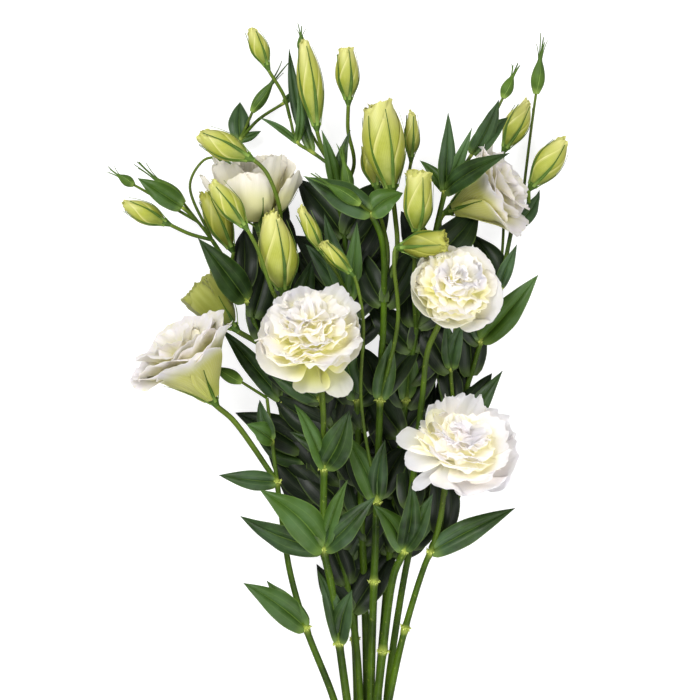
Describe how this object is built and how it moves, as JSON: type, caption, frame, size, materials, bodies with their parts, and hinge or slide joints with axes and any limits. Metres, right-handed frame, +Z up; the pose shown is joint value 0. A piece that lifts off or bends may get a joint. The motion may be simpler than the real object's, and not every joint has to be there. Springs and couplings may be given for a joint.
{
  "type": "tied bunch of cut lisianthus flowers",
  "caption": "Hand-tied bunch of cut lisianthus with open ruffled white blooms, spiralled green buds and leafy stems, lying on its back on a flat surface.",
  "frame": {"origin": "on the surface the bunch lies on, under the middle of its box", "axes": "+Z up from the surface, +Y along the stems from the cut ends towards the flowers, +X to the right seen from above"},
  "size_m": [0.2811, 0.5362, 0.104],
  "materials": {
    "stem_and_leaf": "living green plant tissue with a faint waxy bloom",
    "petal": "soft matt white petal with a green-cream throat",
    "bud": "soft matt yellow-green petal wrapped in a spiral",
    "tie": "dry plaited raffia"
  },
  "bodies": {
    "root": {"leafy_stem_left_front": "stem_and_leaf", "leafy_stem_front_middle": "stem_and_leaf", "leafy_stem_left_back": "stem_and_leaf", "leafy_stem_upper_left": "stem_and_leaf", "leafy_stem_centre_right": "stem_and_leaf", "leafy_stem_right_front": "stem_and_leaf", "leafy_stem_right_back": "stem_and_leaf", "leafy_stem_centre_top": "stem_and_leaf", "leafy_stem_back_top": "stem_and_leaf", "leafy_stem_right_top": "stem_and_leaf", "bloom_front": "petal", "bloom_right": "petal", "bloom_lower_right": "petal", "bloom_left": "petal", "bloom_upper_left": "petal", "bloom_upper_right": "petal", "bloom_half_open": "petal", "bud_tall": "bud", "bud_dark": "bud", "bud_round": "bud", "bud_twisted": "bud", "bud_upright": "bud", "bud_bowed": "bud", "bud_left": "bud", "bud_right": "bud", "bud_behind_right": "bud", "bud_curled": "bud", "bud_lying": "bud", "bud_slim_left": "bud", "bud_slim_middle": "bud", "bud_top_left": "bud", "bud_far_left": "bud", "bud_behind_left": "bud", "bud_thin_top": "bud", "tie": "tie"}
  },
  "joints": []
}
